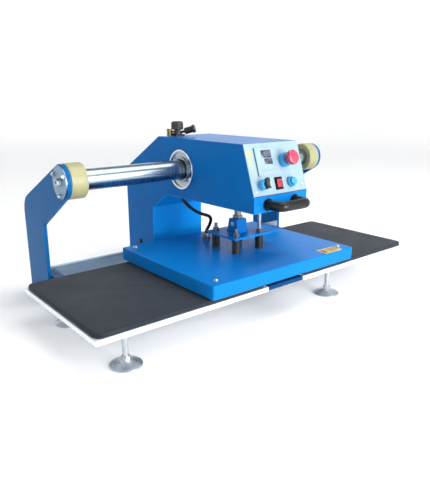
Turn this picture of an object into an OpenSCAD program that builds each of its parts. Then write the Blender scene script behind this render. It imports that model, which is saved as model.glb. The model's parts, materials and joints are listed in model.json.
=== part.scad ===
// Double-station sliding-head pneumatic heat press.
// X runs along the guide shaft (left to right), the operator stands at -Y, Z is up.
// Z = 0 is the plane under the levelling feet, X = 0 is midway between the two beds,
// and Y = 0 is midway between the front of the handle and the back of the mains gland.

/* [Bed] */
// Width of one aluminium bed plate
plate_w = 500; // [490:1:505]
// Depth of one aluminium bed plate
plate_d = 400; // [392:1:402]
// Thickness of the aluminium bed plates
plate_t = 12; // [10:0.5:12]
// Gap between the two bed plates
bed_gap = 136; // [130:1:150]
// Height of the aluminium top face above the floor
bed_z = 95; // [95:1:97]
// Thickness of the silicone foam pads
pad_t = 12; // [8:0.5:12]
// How far a pad is set in from the edge of its plate
pad_inset = 3; // [1:0.5:8]
// Corner radius of the pads
pad_r = 20; // [10:1:30]

/* [End plates and shaft] */
// Outer face of each end plate, measured from the middle
end_x = 472; // [470:1:476]
// Thickness of the end plates
end_t = 10; // [8:1:10]
// Radius of the chrome guide shaft
shaft_r = 28; // [27.9:0.01:28]
// Depth position of the shaft axis
shaft_y = 339; // [337:1:341]
// Height of the shaft axis
shaft_z = 371; // [369:1:373]
// Radius of the rounded top of an end plate
lobe_r = 45; // [44:0.5:47]
// Radius of the urethane bumpers
bumper_r = 46; // [44:0.5:47]
// Length of a bumper along the shaft
bumper_l = 45; // [38:0.5:45]

/* [Carriage] */
// Half width of the carriage box
box_hw = 99; // [98.5:0.1:99.5]
// Thickness of the bent covers
cover_t = 2; // [1.5:0.1:2.2]
// Thickness of the two side plates
side_t = 3; // [2:0.5:3]
// Outer radius of the chrome bearing rings on the side plates
ring_r = 58; // [54:0.5:60]

/* [Press head] */
// Width of the sheet metal cover of the hot platen
head_w = 534; // [524:1:536]
// Depth of the sheet metal cover of the hot platen
head_d = 429; // [424:1:430]
// Height of the sheet metal cover
head_h = 36; // [34:0.5:36]
// Half spacing of the four black standoffs
post_s = 45; // [43:0.5:47]
// Radius of the standoffs
post_r = 12; // [10:0.5:12.5]
// Radius of the piston rod
rod_r = 10; // [8:0.5:10]

/* [Feet] */
// Radius of the foot discs
foot_r = 38; // [30:1:40]
// Radius of the foot studs
stud_r = 7; // [6:0.5:7.5]

/* [Controls] */
// Radius of the red mushroom head
mush_r = 20; // [16:0.5:21]
// Radius of the black handle tube
grip_r = 13; // [10:0.5:13]

/* [Hidden] */
$fn = 96;

// Depth midpoint: depths below are measured from the front edge of the beds
y_mid = 325.5;
in_x = end_x - end_t;                 // inner face of an end plate
plate_x0 = bed_gap/2;
col_y = 203;                          // depth of the piston rod and the standoff group
cover_top = 146.6;                    // top face of the platen cover
link_z = 195;                         // top face of the link plate
panel_a = 70.907;                     // slope of the control panel from level
// The carriage box in side view, counter-clockwise seen from +X: depth, height
box_p = [[31, 288], [418, 284.5], [504, 231.5], [504, 36], [664, 36], [664, 344], [459, 459.5], [76, 461], [31, 331]];

function unit(v) = v/norm(v);
function left_n(a, b) = let (d = unit(b - a)) [-d[1], d[0]];
function cross2(a, b) = a[0]*b[1] - a[1]*b[0];
// Corner i of polygon p moved inwards by t on both of its edges
function inset_pt(p, i, t) = let (n = len(p), a = p[(i + n - 1)%n], b = p[i], c = p[(i + 1)%n],
    n1 = left_n(a, b), n2 = left_n(b, c), p1 = b + t*n1, p2 = b + t*n2, d1 = b - a, d2 = c - b,
    k = cross2(d1, d2)) abs(k) < 1e-6 ? p1 : p1 + d1*(cross2(p2 - p1, d2)/k);
box_in = [for (i = [0:len(box_p) - 1]) inset_pt(box_p, i, cover_t)];

// Everything is drawn with depths from the bed front, then moved to the row frame
module at() { translate([0, -y_mid, 0]) children(); }
// A profile given as depth and height, extruded along X between x0 and x1
module prof(pts, x0, x1) { translate([x0, 0, 0]) rotate([90, 0, 90]) linear_extrude(x1 - x0) polygon(pts); }
module xcyl(r, x0, x1, y = shaft_y, z = shaft_z) { translate([x0, y, z]) rotate([0, 90, 0]) cylinder(r = r, h = x1 - x0); }
module ring_x(r1, r0, x0, x1) { difference() { xcyl(r1, x0, x1); xcyl(r0, x0 - 1, x1 + 1); } }
module block(a, b) { translate(a) cube(b - a); }
module hexagon(af, h) { cylinder(r = af/2/cos(30), h = h, $fn = 6); }
module panel_at(x, s, h = 0) { translate([0, 31, 331]) rotate([panel_a, 0, 0]) translate([x, s, h]) children(); }
module round_rect(w, d, r) { hull() for (x = [r, w - r]) for (y = [r, d - r]) translate([x, y]) circle(r, $fn = 48); }
module rr_exact(w, d, r, h) {
    union() {
        translate([r, 0, 0]) cube([w - 2*r, d, h]);
        translate([0, r, 0]) cube([w, d - 2*r, h]);
        for (x = [r, w - r]) for (y = [r, d - r]) translate([x, y, 0]) cylinder(r = r, h = h);
    }
}

// ---------- base ----------
// Welded frame of flat steel bars, with the centre plate that fills the gap between the beds
bar_t = 12;
module base_frame() at() color("#1763b5") difference() {
    union() {
        for (m = [-1, 1]) {
            block([m > 0 ? 432 : -in_x, 60, bed_z - plate_t - bar_t], [m > 0 ? in_x : -432, 482.9, bed_z - plate_t]);
            block([m > 0 ? 432 : -in_x, 471, 36], [m > 0 ? in_x : -432, 482.9, bed_z - plate_t]);
            block([m > 0 ? 432 : -in_x, 471, 36], [m > 0 ? in_x : -432, 620, 48]);
        }
        for (y = [100, 330]) block([-in_x + 1, y, bed_z - plate_t - bar_t], [in_x - 1, y + 30, bed_z - plate_t]);
        block([-bed_gap/2 + 1, 4, bed_z - plate_t], [bed_gap/2 - 1, 396, bed_z - 1]);
    }
    for (x = bolt_xs) for (y = [115, 345]) translate([x, y, bed_z - 50]) cylinder(r = 4.2, h = 50);
}
bolt_xs = [-400, -250, -110, 110, 250, 400];

module bed_plate(x0) color("#ccd3da") difference() {
    translate([x0, 0, bed_z - plate_t]) rr_exact(plate_w, plate_d, 3, plate_t);
    for (x = bolt_xs) for (y = [115, 345]) translate([x, y, bed_z - plate_t - 1]) cylinder(r = 4.1, h = 9);
    for (f = feet) translate([f[0], f[1], bed_z - plate_t - 1]) cylinder(r = stud_r + 0.05, h = 10);
}
module bed_plate_left() at() bed_plate(-plate_x0 - plate_w);
module bed_plate_right() at() bed_plate(plate_x0);

module press_pad(x0) color("#4c555e") translate([x0 + pad_inset, pad_inset, bed_z]) {
    w = plate_w - 2*pad_inset; d = plate_d - 2*pad_inset;
    rr_exact(w, d, pad_r, pad_t);
}
module press_pad_left() at() press_pad(-plate_x0 - plate_w);
module press_pad_right() at() press_pad(plate_x0);

module bed_bolts() at() color("#9aa2aa") for (x = bolt_xs) for (y = [115, 345])
    translate([x, y, bed_z - plate_t - bar_t - 6.5]) { hexagon(13, 6.5); cylinder(r = 4, h = 24.5); }

// Steel end plate: a foot strip, a raked arm and a rounded eye around the shaft
end_p = [[shaft_y + lobe_r*cos(64.8), shaft_z + lobe_r*sin(64.8)], [589, 303], [603, 294], [613, 282], [620, 266], [622, 252], [622, 22],
    [483, 22], [483, 231], [480, 234.5], [shaft_y + lobe_r*cos(238.2), shaft_z + lobe_r*sin(238.2)]];
module end_plate(m) color("#1763b5") difference() {
    union() {
        prof(end_p, m > 0 ? in_x : -end_x, m > 0 ? end_x : -in_x);
        xcyl(lobe_r, m > 0 ? in_x : -end_x, m > 0 ? end_x : -in_x);
    }
    xcyl(shaft_r + 0.15, m > 0 ? in_x - 10 : -end_x - 10, m > 0 ? end_x + 10 : -in_x + 10);
    for (a = [30, 150, 270]) xcyl(4.1, m > 0 ? end_x - 8 : -end_x - 1, m > 0 ? end_x + 1 : -end_x + 8, shaft_y + 35*cos(a), shaft_z + 35*sin(a));
}
module end_plate_left() at() end_plate(-1);
module end_plate_right() at() end_plate(1);

module guide_shaft() at() color("#c9ced2") difference() {
    xcyl(shaft_r, -end_x, end_x);
    for (m = [-1, 1]) xcyl(8.1, m > 0 ? end_x - 24 : -end_x - 1, m > 0 ? end_x + 1 : -end_x + 24);
}
// Chrome end washers that clamp the shaft against the end plates
module shaft_flanges() at() color("#d5dade") for (m = [-1, 1]) difference() {
    union() {
        xcyl(42.5, m > 0 ? end_x : -end_x - 3, m > 0 ? end_x + 3 : -end_x);
        xcyl(41.7, m > 0 ? end_x + 2 : -end_x - 3.8, m > 0 ? end_x + 3.8 : -end_x - 2);
    }
    xcyl(8.2, m > 0 ? end_x - 1 : -end_x - 9, m > 0 ? end_x + 9 : -end_x + 1);
    for (a = [30, 150, 270]) xcyl(4.2, m > 0 ? end_x - 1 : -end_x - 9, m > 0 ? end_x + 9 : -end_x + 1, shaft_y + 35*cos(a), shaft_z + 35*sin(a));
}
module flange_bolts() at() color("#b9bfc5") for (m = [-1, 1]) {
    translate([m*(end_x + 3.8), shaft_y, shaft_z]) rotate([0, 90*m, 0]) difference() {
        union() { cylinder(r = 12, h = 2); hexagon(19, 9); translate([0, 0, -24]) cylinder(r = 8, h = 24); }
        translate([0, 0, 5]) cylinder(r = 4.5, h = 7);
    }
    for (a = [30, 150, 270]) translate([m*(end_x + 3.8), shaft_y + 35*cos(a), shaft_z + 35*sin(a)]) rotate([0, 90*m, 0]) {
        hexagon(10.5, 4.6); cylinder(r = 3.6, h = 7); translate([0, 0, -10]) cylinder(r = 4, h = 10);
    }
}
module bumper(x0, x1) translate([x0, shaft_y, shaft_z]) rotate([0, 90, 0]) rotate_extrude() let (l = x1 - x0)
    polygon([[shaft_r + 0.2, 0], [bumper_r - 2.5, 0], [bumper_r - 0.7, 0.7], [bumper_r, 2.5], [bumper_r, l - 2.5], [bumper_r - 0.7, l - 0.7], [bumper_r - 2.5, l], [shaft_r + 0.2, l]]);
module bumpers() at() color("#d6cf9f") { bumper(-in_x, -in_x + bumper_l); bumper(in_x - bumper_l, in_x); }

// Flat steel bar that the carriage's two rollers straddle; it stands on the rear side bars
module guide_rail() at() color("#9fb8cc") block([-in_x, 483, 48], [in_x, 495, 108]);

// ---------- levelling feet ----------
feet = [[-483, 32], [213, 32], [-485, 327], [485, 327]];
// Flared disc, waist, wrench hexagon, stud and lock nut
module foot(f) at() color("#b8bec4") translate([f[0], f[1], 0]) {
    rotate_extrude() polygon([[0, 0], [foot_r, 0], [foot_r, 2.2], [foot_r - 1, 3.4], [foot_r*0.62, 7.5], [15, 11], [11.5, 14], [0, 14]]);
    translate([0, 0, 14]) hexagon(19, 9);
    translate([0, 0, 22]) cylinder(r = stud_r, h = bed_z - plate_t + 8 - 22);
    translate([0, 0, bed_z - plate_t - 9]) hexagon(22, 8.9);
}
module foot_front_left() foot(feet[0]);
module foot_front_right() foot(feet[1]);
module foot_rear_left() foot(feet[2]);
module foot_rear_right() foot(feet[3]);

// ---------- carriage box ----------
side_p = [for (i = [0:8]) i == 3 ? [box_in[3][0], 36] : i == 4 ? [box_in[4][0], 36] : box_in[i]];
module side_plate(m) color("#1763b5") difference() {
    prof(side_p, m > 0 ? box_hw - side_t : -box_hw, m > 0 ? box_hw : -box_hw + side_t);
    xcyl(46, m > 0 ? 80 : -110, m > 0 ? 110 : -80);
    xcyl(5.2, m > 0 ? 80 : -110, m > 0 ? 110 : -80, 590, 99);
}
module side_plate_left() at() side_plate(-1);
module side_plate_right() at() side_plate(1);
// Bent sheet over the top, the raked back and the back of the leg
module top_cover() at() color("#1763b5") difference() {
    prof([box_p[7], box_in[7], box_in[6], box_in[5], [box_in[5][0], 60], [664, 60], box_p[5], box_p[6]], -box_hw, box_hw);
    translate([-50, 670, 130]) rotate([90, 0, 0]) cylinder(r = 8.2, h = 20, $fn = 12);
    translate([-44, 437, 440]) cylinder(r = 7, h = 40);
}
// Bent sheet under the arm, down the raked throat and the front of the leg
module underside_cover() at() color("#1763b5") difference() {
    prof([box_p[0], box_p[1], box_p[2], [504, 104], [504 + cover_t, 104], box_in[2], box_in[1], box_in[0]], -box_hw, box_hw);
    translate([0, col_y, 270]) cylinder(r = 17, h = 40);
    translate([post_s, col_y - post_s, 270]) cylinder(r = 8, h = 40);
    translate([-78, 366, 270]) cylinder(r = 8, h = 40);
}
module front_plate() at() color("#1f8fe8") prof([box_p[8], box_in[8], box_in[0], box_p[0]], -box_hw, box_hw);
// Sloping instrument panel with its cut-outs
module control_panel() at() color("#cfe9f3") difference() {
    prof([box_p[7], box_in[7], box_in[8], box_p[8]], -box_hw, box_hw);
    panel_at(-65, 55, -5) cube([72, 68, 10]);
    panel_at(31, 87, -5) cylinder(r = 11.2, h = 10);
    panel_at(-65, 29, -5) cylinder(r = 11.2, h = 10);
    panel_at(42, 28, -5) cylinder(r = 11.2, h = 10);
    panel_at(-14, 14, -5) cube([22, 29, 10]);
}
module bearing_housing() at() color("#8c949b") difference() {
    xcyl(45.8, -box_hw, box_hw);
    xcyl(36, -box_hw - 1, box_hw + 1);
}
module linear_bushings() at() color("#70777d") for (m = [-1, 1]) ring_x(35.9, shaft_r + 0.05, m > 0 ? 24 : -box_hw, m > 0 ? box_hw : -24);
// Chrome ring: a raised rim, a recessed web and a collar round the shaft
module bushing_flange(m) translate([m*box_hw, shaft_y, shaft_z]) rotate([0, 90*m, 0]) difference() {
    rotate_extrude() polygon([[30.5, 0], [ring_r, 0], [ring_r, 6.2], [ring_r - 0.8, 7], [51.3, 7], [50.5, 6.2], [50.5, 3], [38, 3], [37.5, 6.5], [36.5, 7], [30.5, 7]]);
    for (a = [45:90:315]) rotate(a) translate([44.5, 0, 1]) cylinder(r = 3, h = 9);
}
module bushing_flanges() at() color("#dfe3e6") { bushing_flange(-1); bushing_flange(1); }
// Square pneumatic cylinder with two end caps and four tie rods
module air_cylinder() at() color("#aeb4ba") translate([0, col_y, 0]) difference() {
    union() {
        translate([-38, -38, 300]) cube([76, 76, 22]);
        translate([-38, -38, 404]) cube([76, 76, 22]);
        translate([0, 0, 321]) cylinder(r = 35.5, h = 84);
        for (x = [-31, 31]) for (y = [-31, 31]) translate([x, y, 318]) cylinder(r = 3.5, h = 114);
    }
    translate([0, 0, 322]) cylinder(r = 31.5, h = 82);
    translate([0, 0, 290]) cylinder(r = rod_r + 0.1, h = 40);
}
// Cross plate that carries the cylinder between the side plates and guides the anti-turn rod
module cylinder_mount() at() color("#8c949b") difference() {
    union() {
        block([-box_hw + side_t, 142, 292], [box_hw - side_t, 262, 300]);
        translate([post_s + 1.5, col_y - post_s - 1.5, 299]) cylinder(r = 8.4, h = 13);
    }
    translate([0, col_y, 280]) cylinder(r = 17, h = 40);
    translate([post_s, col_y - post_s, 280]) cylinder(r = 5.06, h = 40);
}

// ---------- controls on the sloping panel ----------
module temperature_controller() at() color("#d7e6ee") {
    panel_at(-68, 52, 0) difference() { cube([78, 74, 3.2]); translate([20, 45.5, 2.4]) cube([36, 21, 2]); translate([28, 28.5, 2.4]) cube([29, 16, 2]); }
    panel_at(-64.5, 55.5, -52) cube([71, 67, 52.5]);
}
module estop_collar() at() color("#1f8fe8") panel_at(31, 87, 0) difference() {
    union() {
        rotate_extrude() polygon([[0, 0], [19, 0], [19, 13], [17.5, 16], [15, 17], [0, 17]]);
        translate([0, 0, -30]) cylinder(r = 11, h = 31);
    }
    translate([0, 0, -8]) cylinder(r = 9.1, h = 30);
}
module switch_bezel(x, s, bore, h) panel_at(x, s, 0) difference() {
    union() {
        rotate_extrude() polygon([[0, 0], [14, 0], [14, h - 1.6], [12.8, h], [0, h]]);
        translate([0, 0, -28]) cylinder(r = 11, h = 29);
    }
    translate([0, 0, -6]) cylinder(r = bore, h = 30);
}
module switch_bezels() at() color("#3d9fd6") { switch_bezel(-65, 29, 7.3, 18); switch_bezel(42, 28, 10.6, 8.6); }
module rocker_frame() at() color("#15181c") panel_at(-16, 12, 0) difference() {
    union() { cube([26, 33, 2.5]); translate([2.2, 2.2, -22]) cube([21.6, 28.6, 23]); }
    translate([3.6, 3.6, -14]) cube([18.8, 25.8, 30]);
    translate([2.3, 16.5, -1]) rotate([0, 90, 0]) cylinder(r = 1.66, h = 21.4);
}
module estop_button() at() color("#e0202f") panel_at(31, 87, 0) {
    translate([0, 0, -2]) cylinder(r = 9, h = 31);
    translate([0, 0, 28]) rotate_extrude() polygon(concat([[0, 0], [mush_r - 3, 0], [mush_r - 0.6, 1.8], [mush_r, 5]], [for (a = [0:15:90]) [(mush_r - 6) + 6*cos(a) - 0*a, 9 + 6*sin(a)]], [[0, 16.2]]));
}
// Round stem and a blade with a thumb scoop, pointed at the upper end
module selector_knob() at() color("#101215") panel_at(-65, 29, 0) {
    translate([0, 0, -2]) cylinder(r = 7, h = 22);
    difference() {
        translate([0, 0, 18.7]) linear_extrude(11.5) polygon([[-4.6, -12.5], [4.6, -12.5], [5.2, 6], [2.4, 15], [-2.4, 15], [-5.2, 6]]);
        translate([-10, -1.5, 44]) rotate([0, 90, 0]) cylinder(r = 17.5, h = 20);
    }
}
// Rocker with a shallow dished face, tipped to its off side
module rocker_button() at() color("#d8202a") panel_at(-3, 28.5, 0) {
    translate([-9.1, 0, 0]) rotate([90, 0, 90]) linear_extrude(18.2) polygon([[-12.2, 1], [-11.6, 5.8], [-6, 4.6], [0, 4.4], [6, 5.6], [10.4, 8.2], [12.4, 1], [6, -7.5], [-6, -7.5]]);
    translate([-10.3, 0, -1]) rotate([0, 90, 0]) cylinder(r = 1.6, h = 20.6);
}
module push_button() at() color("#5fb4e6") panel_at(42, 28, 0) translate([0, 0, -1]) rotate_extrude() polygon([[0, 0], [10.3, 0], [10.3, 15.6], [9.3, 17], [0, 17.4]]);

// Black U-handle on the lower front face
module handle() at() color("#0d0f11") translate([0, 0, 308.5]) {
    hx = 50; hr = 16; fy = -16;
    translate([-hx + hr, fy, 0]) rotate([0, 90, 0]) cylinder(r = grip_r, h = 2*(hx - hr));
    for (m = [-1, 1]) {
        translate([m*hx, fy + hr, 0]) rotate([-90, 0, 0]) cylinder(r = grip_r, h = 31 - fy - hr);
        translate([m*(hx - hr), fy + hr, 0]) rotate([0, 0, m > 0 ? 270 : 180]) rotate_extrude(angle = 90) translate([hr, 0]) circle(grip_r);
    }
}

// ---------- air set on the roof ----------
top_z = 460;
module air_regulator() at() color("#24282c") translate([-44, 437, 0]) difference() {
    union() {
        translate([-17, -17, top_z]) cube([34, 34, 5]);
        translate([0, 0, top_z + 4]) cylinder(r = 15, h = 11);
        translate([0, 0, top_z + 14]) cylinder(r = 9, h = 4);
    }
    translate([-30, 0, top_z + 9.5]) rotate([0, 90, 0]) cylinder(r = 5, h = 18);
    translate([0, 0, top_z + 7]) rotate([0, 0, -48.4]) rotate([0, 74, 0]) translate([0, 0, 8]) cylinder(r = 3, h = 18);
}
module regulator_knob() at() color("#15171a") translate([-44, 437, top_z + 18.2]) difference() {
    rotate_extrude() polygon([[0, 0], [15.5, 0], [18.5, 2], [18.5, 20], [17, 23.5], [13, 25.5], [0, 25.5]]);
    for (a = [0:20:340]) rotate(a) translate([19.6, 0, 2.5]) cylinder(r = 1.9, h = 18.5);
}
// Brass nipple, elbow and the black push-in collar that takes the compressed-air line
module air_fittings() at() color("#c9a24a") translate([-44, 437, top_z + 9.5]) difference() {
    union() {
        translate([-26, 0, 0]) rotate([0, 90, 0]) cylinder(r = 4.9, h = 12);
        translate([-23.2, 0, 0]) rotate([0, 90, 0]) hexagon(12, 6);
        translate([-30, 0, -8.5]) cylinder(r = 7, h = 15);
        translate([-30, 0, 6.4]) cylinder(r = 7.6, h = 6);
    }
    translate([-30, 0, -2]) cylinder(r = 4, h = 20);
}
module air_silencer() at() color("#1a1d20") translate([-44, 437, top_z + 7]) rotate([0, 0, -48.4]) rotate([0, 74, 0]) {
    translate([0, 0, 9]) cylinder(r = 2.9, h = 10);
    translate([0, 0, 18]) cylinder(r = 4, h = 8);
    translate([0, 0, 25]) rotate_extrude() polygon([[0, 0], [9, 0], [10, 2], [10, 24], [12.2, 26], [12.2, 31], [10.8, 33], [0, 33]]);
}
module solenoid_valve() at() color("#2b2f33") {
    block([-box_hw + side_t, 470, 330], [-62, 540, 362]);
    block([-box_hw + side_t, 478, 361], [-70, 502, 396]);
    block([-box_hw + side_t, 508, 361], [-70, 532, 396]);
}
// Brass cable gland in the back of the leg
module power_inlet() at() color("#2a2d31") translate([-50, 664, 130]) rotate([-90, 0, 0]) difference() {
    union() {
        translate([0, 0, -14]) cylinder(r = 7.8, h = 15);
        hexagon(20, 5);
        rotate_extrude() polygon([[0, 4], [9, 4], [9, 9], [8, 14], [6.5, 16], [0, 16]]);
        translate([0, 0, -8]) hexagon(20, 6);
    }
    translate([0, 0, -20]) cylinder(r = 5, h = 21);
    cylinder(r = 4.2, h = 50);
}
// ---------- rollers that hold the leg to the rail ----------
module roller_bracket() at() color("#8c949b") difference() {
    union() {
        block([-box_hw + side_t, 520, 36], [box_hw - side_t, 620, 44]);
        block([-30, 454, 36], [30, 521, 44]);
        for (m = [-1, 1]) block([m > 0 ? box_hw - side_t - 6 : -box_hw + side_t, 560, 43], [m > 0 ? box_hw - side_t : -box_hw + side_t + 6, 620, 116]);
    }
    for (y = [470, 508]) translate([0, y, 30]) cylinder(r = 5.1, h = 20);
    for (m = [-1, 1]) xcyl(5.1, m > 0 ? 80 : -110, m > 0 ? 110 : -80, 590, 99);
}
module roller_studs() at() color("#5a6066") {
    for (y = [470, 508]) translate([0, y, 0]) {
        translate([0, 0, 30]) hexagon(16, 6);
        translate([0, 0, 36]) cylinder(r = 5, h = 43);
        translate([0, 0, 44]) cylinder(r = 8, h = 5.6);
        translate([0, 0, 76.4]) cylinder(r = 8, h = 3.5);
    }
    for (m = [-1, 1]) translate([m*box_hw, 590, 99]) rotate([0, 90*m, 0]) {
        cylinder(r = 8, h = 5);
        translate([0, 0, -14]) cylinder(r = 5, h = 15);
        translate([0, 0, -side_t - 6 - 6]) hexagon(16, 6);
    }
}
module roller(y) at() color("#caced2") translate([0, y, 50]) difference() {
    rotate_extrude() polygon([[5.06, 0], [11.7, 0], [12.7, 1], [12.7, 25], [11.7, 26], [5.06, 26]]);
}
module rail_roller_front() roller(470);
module rail_roller_rear() roller(508);

// ---------- press head ----------
module piston_rod() at() color("#b9bfc4") translate([0, col_y, 0]) difference() {
    union() {
        translate([0, 0, 324]) cylinder(r = 31.42, h = 18);
        translate([0, 0, 236]) cylinder(r = rod_r, h = 90);
        translate([0, 0, 236]) hexagon(27, 8);
        translate([-6.7, -12, 203]) cube([13.4, 24, 34]);
    }
    translate([-20, 0, 220]) rotate([0, 90, 0]) cylinder(r = 6.02, h = 40);
}
// Two raked ears on a foot plate, closed at the front
module rod_clevis() at() color("#1763b5") translate([0, col_y, 0]) difference() {
    union() {
        translate([-20, -24, link_z]) cube([40, 48, 6]);
        for (x = [-19, 7]) translate([x, 0, 0]) rotate([90, 0, 90]) linear_extrude(12) polygon([[-22, link_z + 5], [22, link_z + 5], [17, 233], [15, 235], [-15, 235], [-17, 233]]);
        translate([-8, 0, 0]) rotate([90, 0, 90]) linear_extrude(16) polygon([[-22, link_z + 5], [-18, link_z + 5], [-13, 233], [-13, 235], [-15, 235], [-17, 233]]);
    }
    translate([-30, 0, 220]) rotate([0, 90, 0]) cylinder(r = 6.05, h = 60);
}
module clevis_pin() at() color("#d5dade") translate([-19, col_y, 220]) rotate([0, 90, 0]) {
    cylinder(r = 6, h = 38);
    translate([0, 0, 38]) cylinder(r = 7.5, h = 2);
    translate([0, 0, -2]) cylinder(r = 7.5, h = 2);
}
posts = [for (x = [-post_s, post_s]) for (y = [col_y - post_s, col_y + post_s]) [x, y]];
module link_plate() at() color("#2a86d8") difference() {
    translate([-65, 140, link_z - 6]) rr_exact(182, 127, 2.5, 6);
    for (p = posts) translate([p[0], p[1], link_z - 10]) cylinder(r = 5.15, h = 20);
}
// Hard chromed rod on the front right standoff; it slides in the cross plate and stops the head turning
module guide_rod() at() color("#e3e7ea") translate([post_s, col_y - post_s, link_z - 16]) { cylinder(r = 5, h = 176); }
module standoffs() at() color("#0e1012") for (p = posts) translate([p[0], p[1], cover_top]) difference() {
    rotate_extrude() polygon(concat([[0, 0], [post_r, 0]], [for (i = [0:6]) for (q = [[0, 1.2], [0, 4.2], [1.1, 4.9], [1.1, 5.6]]) [post_r - q[0], q[1] + i*5.6]], [[post_r, 40.8], [post_r, link_z - 6 - cover_top], [0, link_z - 6 - cover_top]]));
    translate([0, 0, 20]) cylinder(r = 5.1, h = 40);
}
module standoff_nuts() at() color("#c3c9ce") for (i = [0:3]) translate([posts[i][0], posts[i][1], link_z]) difference() {
    union() {
        cylinder(r = 10.5, h = 1.8);
        translate([0, 0, 1.7]) hexagon(17, 9.3);
        if (i != 2) translate([0, 0, -14]) cylinder(r = 5, h = 38);
    }
    if (i == 2) translate([0, 0, -20]) cylinder(r = 5.04, h = 60);
}
// Folded and welded sheet cover, open underneath
module rr_slab(w, d, r, h) { linear_extrude(h) round_rect(w, d, r); }
module platen_cover() at() color("#1c7bd6") difference() {
    hull() {
        translate([-head_w/2, -13, cover_top - head_h]) rr_slab(head_w, head_d, 5, head_h - 2.4);
        translate([-head_w/2 + 0.8, -12.2, cover_top - 1]) rr_slab(head_w - 1.6, head_d - 1.6, 4.6, 0.2);
        translate([-head_w/2 + 2.4, -10.6, cover_top - 0.1]) rr_slab(head_w - 4.8, head_d - 4.8, 4, 0.1);
    }
    translate([-head_w/2 + 2, -11, cover_top - head_h - 1]) cube([head_w - 4, head_d - 4, head_h - 1]);
    translate([-9, 339, 100]) cylinder(r = 6.5, h = 80);
}
module heating_plate() at() color("#b4b9bd") translate([-250, 1.5, 107.6]) rr_exact(500, 400, 4, 20);
// Sheathed heater rod folded back and forth on the plate
module heating_element() at() color("#6b5a4c") translate([0, 0, 131.7]) {
    for (i = [0:5]) translate([-200, 40 + i*64, 0]) rotate([0, 90, 0]) cylinder(r = 4, h = 400);
    for (i = [0:4]) translate([i % 2 == 0 ? 200 : -200, 72 + i*64, 0]) rotate([0, 0, i % 2 == 0 ? -90 : 90]) rotate_extrude(angle = 180) translate([32, 0]) circle(4, $fn = 32);
}
module hose_gland() at() color("#b9bec3") translate([-9, 339, cover_top]) difference() {
    union() {
        hexagon(24, 7);
        rotate_extrude() polygon([[0, 6], [10.5, 6], [10.5, 14], [9, 18.5], [7.2, 20.4], [0, 20.4]]);
        translate([0, 0, -9]) cylinder(r = 6.3, h = 10);
    }
    translate([0, 0, -20]) cylinder(r = 4.6, h = 50);
}
// Bush for the hose in the underside of the arm
module cable_grommet() at() color("#14171a") translate([-78, 366, 0]) difference() {
    union() {
        translate([0, 0, 281]) cylinder(r = 11, h = 3.6);
        translate([0, 0, 284]) cylinder(r = 7.8, h = 8);
    }
    translate([0, 0, 270]) cylinder(r = 5.4, h = 40);
}
// Route of the hose from the arm to the platen cover: side, depth, height
hose_p = [[-78, 366, 281], [-78, 366, 274], [-75, 363, 267], [-70, 358, 259], [-64, 351, 252], [-57, 343, 244], [-50, 335, 237], [-42, 328, 232],
    [-33, 322, 229], [-23, 319, 227], [-14, 318, 224], [-7, 320, 219], [-2, 323, 212], [0, 327, 204], [0, 330, 196], [-2, 333, 189], [-5, 336, 181],
    [-8, 338, 174], [-9, 339, 167]];
hose_r = 5;
function tang(p, i) = unit(p[min(i + 1, len(p) - 1)] - p[max(i - 1, 0)]);
function ringpts(p, i, r, n) = let (t = i == 0 || i == len(p) - 1 ? [0, 0, -1] : tang(p, i), u = unit(cross(t, [0, 1, 0])), v = cross(t, u))
    [for (k = [0:n - 1]) p[i] + r*(cos(360*k/n)*u + sin(360*k/n)*v)];
module sweep(p, r, n) {
    m = len(p);
    polyhedron(points = [for (i = [0:m - 1]) each ringpts(p, i, r, n)],
        faces = concat([[for (k = [0:n - 1]) k]], [[for (k = [n - 1:-1:0]) (m - 1)*n + k]],
            [for (i = [0:m - 2]) for (k = [0:n - 1]) [i*n + (k + 1)%n, i*n + k, (i + 1)*n + k, (i + 1)*n + (k + 1)%n]]));
}
module heater_hose() at() color("#0c0d0f") sweep(hose_p, hose_r, 12);

base_frame();
bed_plate_left();
bed_plate_right();
press_pad_left();
press_pad_right();
bed_bolts();
end_plate_left();
end_plate_right();
guide_shaft();
shaft_flanges();
flange_bolts();
bumpers();
guide_rail();
foot_front_left();
foot_front_right();
foot_rear_left();
foot_rear_right();
side_plate_left();
side_plate_right();
top_cover();
underside_cover();
front_plate();
control_panel();
bearing_housing();
linear_bushings();
bushing_flanges();
air_cylinder();
cylinder_mount();
temperature_controller();
estop_collar();
switch_bezels();
rocker_frame();
handle();
air_regulator();
air_fittings();
air_silencer();
roller_bracket();
roller_studs();
cable_grommet();
power_inlet();
solenoid_valve();
rail_roller_front();
rail_roller_rear();
estop_button();
selector_knob();
rocker_button();
push_button();
regulator_knob();
piston_rod();
rod_clevis();
clevis_pin();
link_plate();
guide_rod();
standoffs();
standoff_nuts();
platen_cover();
heating_plate();
heating_element();
hose_gland();
heater_hose();
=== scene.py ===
import json
import math
import random

import bmesh
import bpy
import numpy as np
from mathutils import Matrix, Vector, noise

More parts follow.
